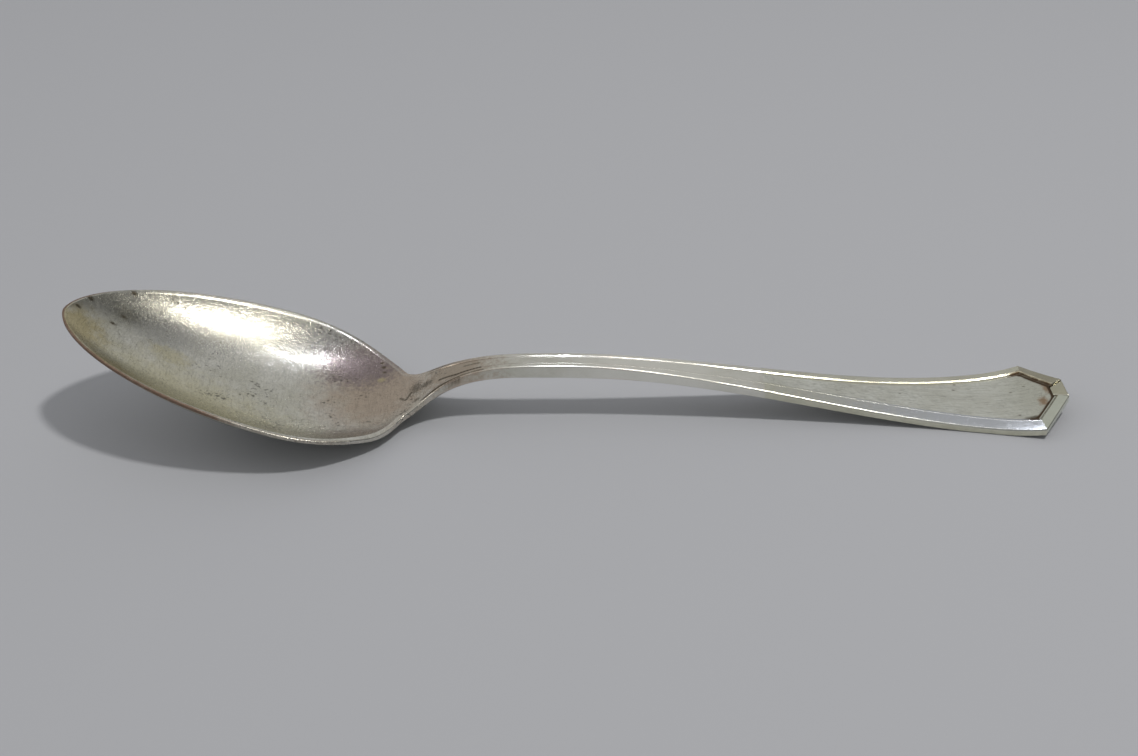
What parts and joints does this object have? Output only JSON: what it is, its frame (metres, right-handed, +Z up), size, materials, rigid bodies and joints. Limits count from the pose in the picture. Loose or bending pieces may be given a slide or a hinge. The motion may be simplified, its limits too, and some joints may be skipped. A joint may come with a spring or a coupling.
{
  "type": "serving spoon",
  "caption": "Serving spoon with a shallow pointed oval bowl, a thin arched stem and a widening flat handle with a raised border and a cut-off pointed end.",
  "frame": {"origin": "on the table plane, midway along the spoon's length and on its middle plane", "axes": "+X from the bowl's tip to the handle's end, +Z up from the table, +Y to the right of someone who holds the handle"},
  "size_m": [0.21, 0.0456, 0.0258],
  "materials": {
    "bowl": "worn silver plate, satin and cloudy, with yellow-brown tarnish towards the rim",
    "stem": "worn silver plate, satin, with brown tarnish in its lines",
    "handle_panel": "worn silver plate, satin, finely scratched",
    "side_border_left": "worn silver plate, brighter on its two edges",
    "side_border_right": "worn silver plate, brighter on its two edges",
    "end_border_left": "worn silver plate, brown tarnish in the crevices",
    "end_border_right": "worn silver plate, brown tarnish in the crevices",
    "tip_keystone": "worn silver plate, brown tarnish in the crevices"
  },
  "bodies": {
    "root": {"bowl": "bowl", "stem": "stem", "handle_panel": "handle_panel", "side_border_left": "side_border_left", "side_border_right": "side_border_right", "end_border_left": "end_border_left", "end_border_right": "end_border_right", "tip_keystone": "tip_keystone"}
  },
  "joints": []
}
